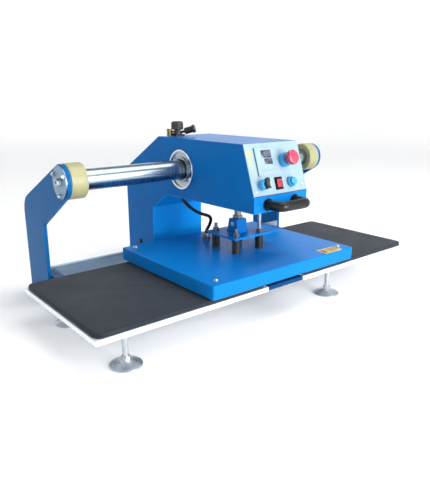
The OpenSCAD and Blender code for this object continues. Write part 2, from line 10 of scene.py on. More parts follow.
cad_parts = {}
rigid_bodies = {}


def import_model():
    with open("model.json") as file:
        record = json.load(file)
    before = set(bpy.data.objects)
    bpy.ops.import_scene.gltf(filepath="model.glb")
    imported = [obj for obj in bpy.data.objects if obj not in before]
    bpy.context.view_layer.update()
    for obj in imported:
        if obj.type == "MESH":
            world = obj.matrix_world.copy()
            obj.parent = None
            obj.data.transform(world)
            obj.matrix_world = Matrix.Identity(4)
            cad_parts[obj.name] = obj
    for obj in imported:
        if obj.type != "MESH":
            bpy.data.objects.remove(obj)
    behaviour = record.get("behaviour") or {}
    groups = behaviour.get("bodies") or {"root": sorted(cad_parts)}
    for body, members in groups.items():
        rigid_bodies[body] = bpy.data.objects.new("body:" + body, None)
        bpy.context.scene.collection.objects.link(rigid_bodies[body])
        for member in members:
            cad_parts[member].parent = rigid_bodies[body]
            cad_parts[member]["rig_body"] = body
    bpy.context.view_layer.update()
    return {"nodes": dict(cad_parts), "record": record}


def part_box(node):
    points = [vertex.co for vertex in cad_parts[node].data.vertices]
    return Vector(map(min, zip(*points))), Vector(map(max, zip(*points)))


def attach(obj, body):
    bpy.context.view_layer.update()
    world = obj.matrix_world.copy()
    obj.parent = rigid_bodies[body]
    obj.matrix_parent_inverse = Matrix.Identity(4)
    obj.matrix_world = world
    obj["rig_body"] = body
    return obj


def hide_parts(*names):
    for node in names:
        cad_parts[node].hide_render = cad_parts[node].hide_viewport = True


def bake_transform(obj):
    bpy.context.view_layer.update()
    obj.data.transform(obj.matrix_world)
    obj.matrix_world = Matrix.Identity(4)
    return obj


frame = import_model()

N = frame["nodes"]
S = bpy.context.scene
S.view_settings.view_transform = "Standard"
SLOT = {p["node"]: p["material_slot"] for p in frame["record"]["subparts"]}
Y_MID = 325.5


def P(x, y, z):
    """A point given in millimetres from the bed front, as metres in the row frame."""
    return Vector((x / 1000, (y - Y_MID) / 1000, z / 1000))


# ---------------------------------------------------------------- camera
cam_data = bpy.data.cameras.new("camera")
cam = bpy.data.objects.new("camera", cam_data)
S.collection.objects.link(cam)
S.camera = cam
cam_data.lens = 37.99
cam_data.sensor_width = 36
cam_data.clip_start = 0.05
cam_data.clip_end = 60
cam.location = (-0.9892, -1.2243, 0.5773)
cam.rotation_euler = (math.pi / 2 - 0.2806, 0, -0.6869)


# ---------------------------------------------------------------- mesh helpers
def new_obj(name, verts, faces, smooth=True):
    me = bpy.data.meshes.new(name)
    me.from_pydata([tuple(v) for v in verts], [], faces)
    me.validate()
    ob = bpy.data.objects.new(name, me)
    S.collection.objects.link(ob)
    if smooth:
        me.shade_smooth()
    return ob


def loft(name, rings, cap=(True, True), closed_path=False):
    """A skin through rings of equally many points."""
    n = len(rings[0])
    verts = [p for r in rings for p in r]
    faces = []
    m = len(rings)
    for i in range(m if closed_path else m - 1):
        j = (i + 1) % m
        for k in range(n):
            faces.append((i * n + k, i * n + (k + 1) % n, j * n + (k + 1) % n, j * n + k))
    if cap[0]:
        faces.append(tuple(range(n - 1, -1, -1)))
    if cap[1]:
        faces.append(tuple((m - 1) * n + k for k in range(n)))
    ob = new_obj(name, verts, faces)
    return tidy(ob)


def tidy(ob, angle=35):
    """Outward normals, and creases kept sharp by angle."""
    bm = bmesh.new()
    bm.from_mesh(ob.data)
    bmesh.ops.recalc_face_normals(bm, faces=bm.faces)
    for e in bm.edges:
        e.smooth = not (len(e.link_faces) == 2 and e.calc_face_angle(0) > math.radians(angle))
    bm.to_mesh(ob.data)
    bm.free()
    ob.data.shade_smooth()
    bm = bmesh.new()
    bm.from_mesh(ob.data)
    for e in bm.edges:
        e.smooth = not (len(e.link_faces) == 2 and e.calc_face_angle(0) > math.radians(angle))
    bm.to_mesh(ob.data)
    bm.free()
    return ob


def weighted(ob):
    m = ob.modifiers.new("normals", "WEIGHTED_NORMAL")
    m.keep_sharp = True
    m.weight = 80
    return ob


def lathe(name, profile, axis_matrix, n=64, hexes=()):
    """Profile of (radius, height) in mm turned about local Z; rings in hexes are hexagonal."""
    rings = []
    for i, (r, h) in enumerate(profile):
        ring = []
        for k in range(n):
            a = 2 * math.pi * k / n
            rr = r
            if i in hexes:
                b = (a + math.pi / 6) % (math.pi / 3) - math.pi / 6
                rr = r / math.cos(b)
            ring.append(axis_matrix @ Vector((rr * math.cos(a) / 1000, rr * math.sin(a) / 1000, h / 1000)))
        rings.append(ring)
    ob = loft(name, rings, cap=(profile[0][0] > 0, profile[-1][0] > 0))
    bm = bmesh.new()
    bm.from_mesh(ob.data)
    bmesh.ops.remove_doubles(bm, verts=bm.verts, dist=2e-7)
    bm.to_mesh(ob.data)
    bm.free()
    return tidy(ob)


def rr_outline(w, d, r, n=8, side=1):
    """Rounded rectangle, counter-clockwise, centred, in mm."""
    pts = []
    for cx, cy, a0 in ((w / 2 - r, d / 2 - r, 0), (-w / 2 + r, d / 2 - r, 90), (-w / 2 + r, -d / 2 + r, 180), (w / 2 - r, -d / 2 + r, 270)):
        for i in range(n + 1):
            a = math.radians(a0 + 90 * i / n)
            pts.append((cx + r * math.cos(a), cy + r * math.sin(a)))
    if side > 1:
        out = []
        for i, p in enumerate(pts):
            q = pts[(i + 1) % len(pts)]
            out.append(p)
            if math.dist(p, q) > 2 * max(w, d) / 40:
                out += [(p[0] + (q[0] - p[0]) * t / side, p[1] + (q[1] - p[1]) * t / side) for t in range(1, side)]
        pts = out
    return pts


def slab(name, w, d, r, h, m, edge=0.4, n=6, lift=0.0):
    """A flat plate w by d by h mm with rounded corners and softened top edges, placed by matrix m."""
    rings = []
    steps = [(0, 0), (0, h - edge), (edge * 0.3, h - edge * 0.3), (edge, h)]
    for inset, z in steps:
        o = rr_outline(w - 2 * inset, d - 2 * inset, max(r - inset, 0.05), n)
        rings.append([m @ Vector((x / 1000, y / 1000, (z + lift) / 1000)) for x, y in o])
    return loft(name, rings)


def sweep_tube(name, pts, radius, n=16, cap=True, mod=None):
    """A round tube along points in metres; mod(s) changes the radius along its length."""
    pts = [Vector(p) for p in pts]
    t0 = (pts[1] - pts[0]).normalized()
    u = t0.orthogonal().normalized()
    rings, s = [], 0.0
    for i, p in enumerate(pts):
        t = (pts[min(i + 1, len(pts) - 1)] - pts[max(i - 1, 0)]).normalized()
        u = (u - t * u.dot(t)).normalized()
        v = t.cross(u)
        if i:
            s += (p - pts[i - 1]).length
        r = radius * (mod(s) if mod else 1)
        rings.append([p + u * math.cos(2 * math.pi * k / n) * r + v * math.sin(2 * math.pi * k / n) * r for k in range(n)])
    return loft(name, rings, cap=(cap, cap))


def refine(node, w=0.6, seg=2, angle=28, weight=True):
    """The node's own shape with merged faces and rounded edges, as a new piece in its place."""
    src = N[node]
    me = bpy.data.meshes.new(node + "_shape")
    bm = bmesh.new()
    bm.from_mesh(src.data)
    for layer in list(bm.loops.layers.uv):
        bm.loops.layers.uv.remove(layer)
    bmesh.ops.remove_doubles(bm, verts=bm.verts, dist=2e-6)
    bmesh.ops.dissolve_limit(bm, angle_limit=math.radians(0.6), verts=bm.verts, edges=bm.edges)
    if w > 0:
        edges = [e for e in bm.edges if len(e.link_faces) == 2 and e.calc_face_angle(0) > math.radians(angle)]
        bmesh.ops.bevel(bm, geom=edges, offset=w / 1000, offset_type="OFFSET", segments=seg, profile=0.5, affect="EDGES", clamp_overlap=True)
    for f in bm.faces:
        f.smooth = True
    for e in bm.edges:
        e.smooth = not (len(e.link_faces) == 2 and e.calc_face_angle(0) > math.radians(50))
    bm.to_mesh(me)
    bm.free()
    ob = bpy.data.objects.new(node + "_shape", me)
    S.collection.objects.link(ob)
    if weight:
        weighted(ob)
    return stand_in(ob, node)


def stand_in(ob, *nodes, material=None):
    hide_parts(*nodes)
    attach(ob, N[nodes[0]]["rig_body"])
    paint(ob, material or MAT[SLOT[nodes[0]]])
    return ob


def trim(ob, body, material):
    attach(ob, body)
    paint(ob, material)
    return ob


def paint(ob, material):
    ob.data.materials.clear()
    ob.data.materials.append(material)
    return ob


# ---------------------------------------------------------------- materials
class Mat:
    """A small builder for a procedural Principled material."""

    def __init__(self, name, **sockets):
        self.m = bpy.data.materials.new(name)
        self.m.use_nodes = True
        self.t = self.m.node_tree
        self.b = self.t.nodes["Principled BSDF"]
        for k, v in sockets.items():
            self.set(k, v)
        self.co = self.t.nodes.new("ShaderNodeTexCoord").outputs["Object"]

    def set(self, key, value):
        names = {"color": "Base Color", "metal": "Metallic", "rough": "Roughness", "coat": "Coat Weight", "coat_rough": "Coat Roughness",
                 "ior": "IOR", "spec": "Specular IOR Level", "sheen": "Sheen Weight", "sheen_rough": "Sheen Roughness", "sss": "Subsurface Weight",
                 "sss_scale": "Subsurface Scale", "aniso": "Anisotropic", "emit": "Emission Color", "emit_s": "Emission Strength", "trans": "Transmission Weight"}
        sock = self.b.inputs[names[key]]
        sock.default_value = (*value, 1) if isinstance(value, tuple) and len(value) == 3 and sock.type == "RGBA" else value

    def node(self, kind, **inputs):
        n = self.t.nodes.new("ShaderNode" + kind)
        for k, v in inputs.items():
            self.link(v, n.inputs[k.replace("_", " ")])
        return n

    def link(self, v, sock):
        if isinstance(v, bpy.types.NodeSocket):
            self.t.links.new(v, sock)
        else:
            sock.default_value = v

    def mapped(self, scale):
        n = self.node("Mapping", Vector=self.co)
        n.inputs["Scale"].default_value = scale
        return n.outputs[0]

    def noise(self, scale, detail=3, rough=0.5, vec=None, dist=0.0):
        n = self.node("TexNoise", Vector=vec or self.co, Scale=scale, Detail=detail, Roughness=rough, Distortion=dist)
        return n.outputs["Fac"]

    def voronoi(self, scale, vec=None, feature="F1", out="Distance"):
        n = self.node("TexVoronoi", Vector=vec or self.co, Scale=scale)
        n.feature = feature
        return n.outputs[out]

    def ramp(self, fac, stops):
        n = self.node("ValToRGB", Fac=fac)
        r = n.color_ramp
        while len(r.elements) < len(stops):
            r.elements.new(0.5)
        for e, (p, c) in zip(r.elements, stops):
            e.position = p
            e.color = (*c, 1) if isinstance(c, tuple) else (c, c, c, 1)
        return n.outputs[0]

    def math(self, op, a, b=0.0, clamp=False):
        n = self.t.nodes.new("ShaderNodeMath")
        n.operation = op
        n.use_clamp = clamp
        self.link(a, n.inputs[0])
        self.link(b, n.inputs[1])
        return n.outputs[0]

    def mix(self, fac, a, b, mode="MIX"):
        n = self.t.nodes.new("ShaderNodeMix")
        n.data_type = "RGBA"
        n.blend_type = mode
        self.link(fac, n.inputs["Factor"])
        for v, s in ((a, n.inputs["A"]), (b, n.inputs["B"])):
            s2 = [i for i in n.inputs if i.name == s.name and i.type == "RGBA"][0]
            self.link((*v, 1) if isinstance(v, tuple) and len(v) == 3 else v, s2)
        return [o for o in n.outputs if o.type == "RGBA"][0]

    def color(self, v):
        self.link(v, self.b.inputs["Base Color"])

    def rough(self, v):
        self.link(v, self.b.inputs["Roughness"])

    def bump(self, height, strength=0.1, dist=0.001, normal=None):
        n = self.node("Bump", Height=height, Strength=strength, Distance=dist)
        if normal is not None:
            self.link(normal, n.inputs["Normal"])
        self.link(n.outputs[0], self.b.inputs["Normal"])
        return n.outputs[0]

    def edges(self, radius=0.0012, lo=0.02, hi=0.25):
        """A mask, 1 on convex and concave edges, from the difference of a rounded normal and the real one."""
        bev = self.t.nodes.new("ShaderNodeBevel")
        bev.samples = 4
        bev.inputs["Radius"].default_value = radius
        geo = self.t.nodes.new("ShaderNodeNewGeometry")
        dot = self.t.nodes.new("ShaderNodeVectorMath")
        dot.operation = "DOT_PRODUCT"
        self.t.links.new(bev.outputs[0], dot.inputs[0])
        self.t.links.new(geo.outputs["Normal"], dot.inputs[1])
        inv = self.math("SUBTRACT", 1.0, dot.outputs["Value"])
        mr = self.node("MapRange", Value=inv)
        mr.inputs["From Min"].default_value = lo
        mr.inputs["From Max"].default_value = hi
        mr.clamp = True
        return self.math("MAXIMUM", mr.outputs[0], 0.0, clamp=True)


def lin(r, g, b):
    return tuple(((c / 255) / 12.92 if c / 255 <= 0.04045 else ((c / 255 + 0.055) / 1.055) ** 2.4) for c in (r, g, b))


def scale_c(c, k):
    return tuple(min(1.0, x * k) for x in c)


def enamel(name, rgb, rough=0.3, coat=0.0):
    base = lin(*rgb)
    m = Mat(name, rough=rough, coat=coat, coat_rough=0.06, ior=1.45, spec=0.06)
    cloud = m.noise(7, 4, 0.55)
    tone = m.ramp(cloud, [(0.3, scale_c(base, 0.93)), (0.7, scale_c(base, 1.06))])
    speck = m.ramp(m.voronoi(520), [(0.0, 0.0), (0.06, 0.0), (0.09, 1.0)])
    tone = m.mix(m.math("MULTIPLY", m.math("SUBTRACT", 1.0, speck), 0.18), tone, scale_c(base, 1.5))
    wear = m.math("MULTIPLY", m.edges(0.0011, 0.14, 0.34), m.ramp(m.noise(90, 5, 0.7), [(0.42, 0.0), (0.62, 1.0)]))
    tone = m.mix(m.math("MULTIPLY", wear, 0.2), tone, tuple(0.45 * x + 0.3 for x in base))
    m.color(tone)
    smudge = m.math("ADD", m.math("MULTIPLY", m.noise(12, 3, 0.5), 0.1), rough - 0.05)
    m.rough(smudge)
    peel = m.noise(420, 2, 0.4)
    m.bump(peel, 0.02, 0.0006)
    return m.m


def brushed(name, rgb, rough, stretch, bump=0.05, metal=1.0, streak=0.1, spangle=0.0):
    base = lin(*rgb)
    m = Mat(name, metal=metal, rough=rough)
    fine = m.noise(1.0, 4, 0.7, vec=m.mapped(stretch))
    tone = m.ramp(fine, [(0.25, scale_c(base, 1 - streak)), (0.75, scale_c(base, 1 + streak * 0.6))])
    if spangle:
        cell = m.voronoi(140, out="Color")
        bw = m.node("RGBToBW", Color=cell).outputs[0]
        tone = m.mix(m.math("MULTIPLY", bw, spangle), tone, scale_c(base, 0.6))
    stain = m.ramp(m.noise(22, 4, 0.6), [(0.45, 0.0), (0.8, 1.0)])
    tone = m.mix(m.math("MULTIPLY", stain, 0.15), tone, scale_c(base, 0.7))
    m.color(tone)
    r = m.ramp(fine, [(0.2, max(0.02, rough - 0.06)), (0.8, rough + 0.1)])
    m.rough(r)
    m.bump(fine, bump, 0.0004)
    return m.m


def plastic(name, rgb, rough=0.35, grain=900, bump=0.08, coat=0.0, sss=0.0, dust=0.06, wear=0.0, spec=0.5):
    base = lin(*rgb)
    m = Mat(name, rough=rough, coat=coat, coat_rough=0.08, spec=spec)
    if sss:
        m.set("sss", sss)
        m.set("sss_scale", 0.003)
    tone = m.ramp(m.noise(26, 4, 0.55), [(0.3, scale_c(base, 0.9)), (0.75, scale_c(base, 1.08))])
    if dust:
        d = m.ramp(m.noise(60, 6, 0.7), [(0.5, 0.0), (0.85, 1.0)])
        tone = m.mix(m.math("MULTIPLY", d, dust), tone, (0.5, 0.5, 0.5))
    if wear:
        e = m.math("MULTIPLY", m.edges(0.0008, 0.03, 0.3), wear)
        tone = m.mix(e, tone, tuple(0.5 * x + 0.22 for x in base))
    m.color(tone)
    m.rough(m.ramp(m.noise(40, 4, 0.6), [(0.3, max(0.03, rough - 0.06)), (0.8, rough + 0.1)]))
    m.bump(m.noise(grain, 2, 0.5), bump, 0.0003)
    return m.m


def pad_material():
    base = lin(24, 33, 44)
    m = Mat("silicone_foam", rough=0.78, sheen=0.06, sheen_rough=0.5, spec=0.3)
    tone = m.ramp(m.noise(5, 5, 0.6), [(0.3, scale_c(base, 0.86)), (0.7, scale_c(base, 1.12))])
    grain = m.ramp(m.noise(1400, 2, 0.6), [(0.35, 0.0), (0.65, 1.0)])
    tone = m.mix(m.math("MULTIPLY", grain, 0.16), tone, scale_c(base, 1.7))
    lint = m.ramp(m.voronoi(260), [(0.0, 1.0), (0.05, 1.0), (0.08, 0.0)])
    tone = m.mix(m.math("MULTIPLY", lint, 0.12), tone, (0.3, 0.31, 0.33))
    m.color(tone)
    m.rough(m.ramp(m.noise(11, 5, 0.6), [(0.3, 0.68), (0.7, 0.88)]))
    cells = m.voronoi(900)
    first = m.node("Bump", Height=m.noise(60, 3, 0.5), Strength=0.12, Distance=0.001).outputs[0]
    m.bump(cells, 0.35, 0.0004, normal=first)
    return m.m


def film_material():
    base = lin(134, 160, 174)
    m = Mat("panel_film", rough=0.3, coat=0.35, coat_rough=0.12)
    m.color(m.ramp(m.noise(9, 3, 0.5), [(0.3, scale_c(base, 0.95)), (0.7, scale_c(base, 1.03))]))
    m.rough(m.ramp(m.noise(30, 4, 0.6), [(0.3, 0.26), (0.8, 0.42)]))
    m.bump(m.voronoi(1500), 0.05, 0.0002)
    return m.m


MAT = {
    "blue_enamel": enamel("blue_enamel", (8, 102, 174)),
    "bed_aluminium": brushed("brushed_aluminium", (238, 242, 247), 0.36, (8, 900, 900), 0.06, metal=0.45, streak=0.06),
    "pad_silicone": pad_material(),
    "zinc_steel": brushed("zinc_plate", (196, 202, 208), 0.28, (60, 60, 400), 0.05, spangle=0.25),
    "hard_chrome": brushed("hard_chrome", (150, 164, 174), 0.22, (1600, 12, 12), 0.008, streak=0.04),
    "urethane": plastic("cream_urethane", (156, 153, 114), 0.42, 500, 0.12, sss=0.15, dust=0.1),
    "rail_steel": brushed("ground_steel", (138, 160, 182), 0.26, (10, 900, 900), 0.06, streak=0.12),
    "dark_steel": brushed("dark_steel", (120, 126, 132), 0.38, (300, 60, 60), 0.08, streak=0.2),
    "panel_film": film_material(),
    "blue_plastic": plastic("blue_plastic", (40, 144, 200), 0.26, 700, 0.05, coat=0.4, dust=0.03),
    "black_plastic": plastic("black_plastic", (4, 5, 7), 0.1, 800, 0.01, dust=0.003, wear=0.0, spec=0.22),
    "black_rubber": plastic("black_rubber", (8, 9, 11), 0.34, 500, 0.1, dust=0.02, spec=0.35),
    "red_plastic": plastic("red_plastic", (146, 20, 44), 0.22, 700, 0.04, coat=0.6, sss=0.1, dust=0.03),
    "brass": brushed("brass", (112, 98, 66), 0.24, (300, 300, 60), 0.05),
}


def ring_material():
    m = Mat("turned_ring_painted_reflection", metal=1.0, rough=0.16)
    sep = m.node("SeparateXYZ", Vector=m.co)
    y = m.math("SUBTRACT", sep.outputs["Y"], 0.0135)
    z = m.math("SUBTRACT", sep.outputs["Z"], 0.371)
    r = m.math("SQRT", m.math("ADD", m.math("MULTIPLY", y, y), m.math("MULTIPLY", z, z)))
    # radial tone: painted reflection, darker towards the shaft, with a painted highlight on the outer rim; the turning
    # marks below are real
    tone = m.ramp(m.math("MULTIPLY", r, 16.0), [(0.0, lin(110, 126, 140)), (0.5, lin(118, 134, 150)), (0.6, lin(168, 182, 194)), (0.84, lin(178, 192, 204)), (0.875, lin(226, 232, 238)), (1.0, lin(226, 232, 238))])
    turn = m.ramp(m.noise(3200, 1, 0.4, vec=m.node("CombineXYZ", X=r).outputs[0]), [(0.35, 0.0), (0.65, 1.0)])
    m.color(m.mix(m.math("MULTIPLY", turn, 0.2), tone, lin(40, 52, 66)))
    m.rough(m.ramp(m.noise(70, 4, 0.6), [(0.3, 0.12), (0.8, 0.24)]))
    m.bump(turn, 0.03, 0.0003)
    return m.m


turned_ring_painted_reflection = ring_material()
# a darker copy of the blue enamel for the base frame: painted shade, the shadow under the platen
frame_shaded_enamel = enamel("frame_shaded_enamel", (8, 60, 106))
# a darker copy of the blue enamel for the end plates: painted shade of their sides turned away from the light
end_plate_shaded_enamel = enamel("end_plate_shaded_enamel", (6, 88, 146))
# a lighter copy of the blue enamel for the platen cover, link plate and front plate: painted light
lit_enamel_copy = enamel("lit_enamel_copy", (13, 112, 186))
# a brighter copy of the blue enamel for the underside cover: painted light
throat_lit_enamel = enamel("throat_lit_enamel", (14, 132, 214))
dark_zinc = brushed("dark_zinc", (112, 120, 128), 0.24, (300, 300, 60), 0.04, spangle=0.2)
estop_cap = plastic("estop_cap", (160, 34, 70), 0.12, 700, 0.02, coat=1.0, dust=0.02)
flange_steel = brushed("flange_steel", (132, 158, 184), 0.3, (60, 400, 400), 0.03, streak=0.1)
satin_black = plastic("satin_black", (24, 26, 29), 0.42, 900, 0.14, dust=0.08, wear=0.1)
display_glass = plastic("display_glass", (44, 46, 66), 0.12, 300, 0.01, coat=0.8, dust=0.02)
digit_ink = plastic("digit_segments", (126, 128, 156), 0.4, 300, 0.02, dust=0.0)
key_ink = plastic("key_print", (142, 150, 178), 0.34, 900, 0.05, dust=0.03)
arrow_ink = plastic("arrow_print", (120, 142, 178), 0.4, 900, 0.03, dust=0.0)
label_yellow = plastic("label_yellow", (214, 178, 36), 0.36, 600, 0.04, coat=0.2, dust=0.08)
label_pale = plastic("label_pale", (222, 222, 104), 0.36, 600, 0.04, coat=0.2, dust=0.03)
label_ink = plastic("label_bars", (62, 54, 38), 0.42, 600, 0.03, dust=0.05)
screw_zinc = brushed("screw_zinc", (186, 192, 198), 0.3, (400, 400, 400), 0.06)
# painted shade for the seam under the panel
seam_shade_paint = plastic("painted_seam_shade", (10, 30, 46), 0.6, 600, 0.1, dust=0.1)

# painted shade for the shaded left side of the controller
side_shade_paint = plastic("painted_side_shade", (70, 84, 104), 0.5, 600, 0.1, dust=0.1)

# ---------------------------------------------------------------- the heater hose
HOSE = [P(*p) for p in ((-78, 366, 281), (-78, 366, 274), (-75, 363, 267), (-70, 358, 259), (-64, 351, 252), (-57, 343, 244), (-50, 335, 237),
                        (-42, 328, 232), (-33, 322, 229), (-23, 319, 227), (-14, 318, 224), (-7, 320, 219), (-2, 323, 212), (0, 327, 204),
                        (0, 330, 196), (-2, 333, 189), (-5, 336, 181), (-8, 338, 174), (-9, 339, 167))]


def spline(pts, step=0.0006):
    """A smooth curve near the points, with its ends and end directions kept."""
    a = np.array([tuple(p) for p in pts])
    for _ in range(3):  # soften the rounding of the points
        b = a.copy()
        b[2:-2] = 0.25 * a[1:-3] + 0.5 * a[2:-2] + 0.25 * a[3:-1]
        a = b
    a = np.vstack([a[0], a[0] - [0, 0, 0.0012], a[1:-1], a[-1] + [0, 0, 0.0012], a[-1]])
    p = np.vstack([2 * a[0] - a[1], a, 2 * a[-1] - a[-2]])
    out = []
    for i in range(1, len(p) - 2):
        p0, p1, p2, p3 = p[i - 1], p[i], p[i + 1], p[i + 2]
        n = max(2, int(np.linalg.norm(p2 - p1) / step))
        for t in np.linspace(0, 1, n, endpoint=False):
            out.append(0.5 * ((2 * p1) + (-p0 + p2) * t + (2 * p0 - 5 * p1 + 4 * p2 - p3) * t * t + (-p0 + 3 * p1 - 3 * p2 + p3) * t ** 3))
    out.append(p[-2])
    return [Vector(q) for q in out]


hose_path = spline(HOSE)
hose = sweep_tube("heater_hose_sleeve", hose_path, 0.005, 24, mod=lambda s: 1 - 0.022 * (1 - math.cos(2 * math.pi * s / 0.0032)) / 2)
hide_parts("heater_hose")
paint(hose, MAT["black_rubber"])
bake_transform(hose)

# ---------------------------------------------------------------- pads
def pad(node, name):
    lo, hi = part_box(node)
    w, d = (hi.x - lo.x) * 1000, (hi.y - lo.y) * 1000
    h = (hi.z - lo.z) * 1000
    c = (lo + hi) / 2
    base = lo.z
    rings = []
    side = 14
    prof = [(1.2, 0.0), (0.35, 0.8), (0.0, 2.6), (0.15, h - 5.0), (0.5, h - 3.2), (1.5, h - 1.5), (2.9, h - 0.5), (4.6, h - 0.12)]
    k = 4.6
    while k < min(w, d) / 2 - 14:
        k = min(k * 1.35 + 3, min(w, d) / 2 - 13)
        prof.append((k, h))
    for inset, z in prof:
        ring = []
        for x, y in rr_outline(w - 2 * inset, d - 2 * inset, max(20 - inset, 4), 10, side):
            px, py = c.x * 1000 + x, c.y * 1000 + y
            dz = 0.0
            if z > h - 6:
                dz = min(0, 0.35 * noise.noise(Vector((px / 70, py / 70, 3.1))) - 0.28) * (1 if z >= h - 0.2 else 0.4)
            wob = 0.25 * noise.noise(Vector((px / 40, py / 40, 9.0))) - 0.2
            q = Vector((x, y))
            if q.length > 1 and inset < 3:
                q = q + q.normalized() * min(0, wob)
            ring.append(Vector((c.x + q.x / 1000, c.y + q.y / 1000, base + (z + dz) / 1000)))
        rings.append(ring)
    ob = loft(name, rings)
    stand_in(ob, node)
    return ob


pad("press_pad_left", "foam_pad_left")
pad("press_pad_right", "foam_pad_right")

# ---------------------------------------------------------------- platen cover
def platen_shell():
    w, d, h, top = 534.0, 429.0, 36.0, 146.6
    cx, cy = 0.0, 201.5
    rings = []
    outer = [(0.9, top - h), (0.0, top - h + 0.9), (0.0, top - 3.2), (0.25, top - 2.0), (0.95, top - 0.95), (2.0, top - 0.25), (3.2, top)]
    for inset, z in outer:
        o = rr_outline(w - 2 * inset, d - 2 * inset, max(5 - inset * 0.6, 1.2), 6, 8)
        rings.append([P(cx + x, cy + y, z) for x, y in o])
    k = 3.2
    while k < 190:
        k = min(k * 1.8 + 6, 195)
        o = rr_outline(w - 2 * k, d - 2 * k, 2, 6, 8)
        rings.append([P(cx + x, cy + y, top - 0.02 * 0) for x, y in o])
    inner = [(195, top - 2.2), (3.0, top - 2.2), (2.2, top - 3.4), (2.2, top - h + 2.4), (12, top - h + 2.0), (12.2, top - h + 0.4), (2.0, top - h)]
    cap_i = len(rings)
    n = len(rings[0])
    for inset, z in inner:
        o = rr_outline(w - 2 * inset, d - 2 * inset, 2.0, 6, 8)
        rings.append([P(cx + x, cy + y, z) for x, y in o])
    verts = [p for r in rings for p in r]
    m = len(rings)
    faces = []
    for i in range(m):
        if i == cap_i - 1:
            continue
        j = (i + 1) % m
        for k2 in range(n):
            faces.append((i * n + k2, i * n + (k2 + 1) % n, j * n + (k2 + 1) % n, j * n + k2))
    faces.append(tuple((cap_i - 1) * n + k2 for k2 in range(n)))
    faces.append(tuple(cap_i * n + k2 for k2 in range(n - 1, -1, -1)))
    ob = new_obj("platen_cover_shell", verts, faces)
    tidy(ob)
    return stand_in(weighted(ob), "platen_cover")


platen_shell()


def screw(name, m, r, h, body, material=None, socket=0.45):
    ob = lathe(name, [(0.001, h * 0.35), (r * socket, h * 0.35), (r * socket, h * 0.93), (r * (socket + 0.1), h), (r * 0.78, h * 0.97), (r * 0.95, h * 0.72), (r, h * 0.35), (r, 0), (0.001, 0)],
               m, 36, hexes=(1, 2))
    return trim(ob, body, material or screw_zinc)


def at_mm(x, y, z):
    return Matrix.Translation(P(x, y, z))


for i, (sx, sy) in enumerate(((-235, 18), (235, 18), (-235, 392), (235, 392))):
    wsh = lathe("cover_washer_%d" % i, [(4.2, 0), (8.2, 0), (8.2, 0.8), (7.7, 1.1), (4.2, 1.1)], at_mm(sx, sy, 146.6), 36)
    trim(wsh, "head", screw_zinc)
    screw("cover_screw_%d" % i, at_mm(sx, sy, 147.6), 5.2, 3.4, "head")

# blank warning plate: a yellow field, a plain border and bars that stand for print
lbl = at_mm(186, 9, 146.6) @ Matrix.Rotation(math.radians(-2), 4, "Z")
trim(slab("cover_label", 72, 38, 2.5, 0.35, lbl, 0.12), "head", label_yellow)
for i, (bx, by, bw, bh) in enumerate(((-24, 0, 14, 24), (10, 9, 40, 4.5), (8, 1, 36, 3), (10, -6, 40, 3), (4, -12, 28, 2.6))):
    trim(slab("cover_label_bar_%d" % i, bw, bh, 0.8, 0.12, lbl @ Matrix.Translation((bx / 1000, by / 1000, 0.00035)), 0.04), "head", label_ink)

# ---------------------------------------------------------------- shaft and bumpers
def x_axis(x, y=339, z=371, flip=False):
    return Matrix.Translation(P(x, y, z)) @ Matrix.Rotation(math.radians(-90 if flip else 90), 4, "Y")


shaft_prof = [(0.001, 0), (27.0, 0), (28.0, 1.0)]
for k in range(1, 48):
    shaft_prof.append((28.0, 944 * k / 48))
shaft_prof += [(28.0, 943.0), (27.0, 944), (0.001, 944)]
stand_in(lathe("guide_shaft_tube", shaft_prof, x_axis(-472), 128), "guide_shaft")


def bumper(name, x0):
    prof = [(28.4, 0.4), (29.2, 0), (43.0, 0), (44.6, 0.5), (45.6, 1.4), (46.0, 3.0), (46.0, 12), (46.0, 22.5), (46.0, 33), (46.0, 42.0), (45.6, 43.6), (44.6, 44.5), (43.0, 45), (29.2, 45), (28.4, 44.6)]
    return lathe(name, prof + [prof[0]], x_axis(x0), 96)


b1 = bumper("bumper_left", -462)
b2 = bumper("bumper_right", 417)
stand_in(b1, "bumpers")
trim(b2, "base", MAT["urethane"])

# ---------------------------------------------------------------- handle
def arc(cx, cy, r, a0, a1, n=14):
    return [(cx + r * math.cos(math.radians(a0 + (a1 - a0) * i / n)), cy + r * math.sin(math.radians(a0 + (a1 - a0) * i / n))) for i in range(n + 1)]


hp = [(-50, 30.8), (-50, 22), (-50, 9)] + arc(-34, 0, 16, 180, 270) + [(-17, -16), (0, -16), (17, -16)] + arc(34, 0, 16, 270, 360) + [(50, 9), (50, 22), (50, 30.8)]
grip = sweep_tube("handle_grip", [P(x, y, 308.5) for x, y in hp], 0.013, 40)
stand_in(grip, "handle")
for i, x in enumerate((-50, 50)):
    m = Matrix.Translation(P(x, 31, 308.5)) @ Matrix.Rotation(math.radians(90), 4, "X")
    trim(lathe("handle_foot_%d" % i, [(12.5, 0), (16.5, 0), (16.5, 1.6), (15.4, 3.0), (12.5, 3.4)], m, 48), "carriage", MAT["black_plastic"])

# ---------------------------------------------------------------- the sloping panel
PANEL = Matrix.Translation(P(0, 31, 331)) @ Matrix.Rotation(math.radians(70.907), 4, "X")


def on_panel(x, s, h=0.0):
    return PANEL @ Matrix.Translation((x / 1000, s / 1000, h / 1000))


for i, (x, s) in enumerate(((-86, 14), (86, 20))):
    screw("panel_screw_%d" % i, on_panel(x, s, 0.0), 3.4, 1.8, "carriage")

# display windows, digits and keys of the controller
trim(slab("display_upper", 35, 20, 0.8, 0.55, on_panel(-30, 108, 2.35), 0.15), "carriage", display_glass)
trim(slab("display_lower", 28, 15, 0.8, 0.55, on_panel(-25.5, 88.5, 2.35), 0.15), "carriage", display_glass)
SEG = {"0": "abcdef", "1": "bc", "2": "abged", "3": "abgcd", "5": "afgcd", "8": "abcdefg"}


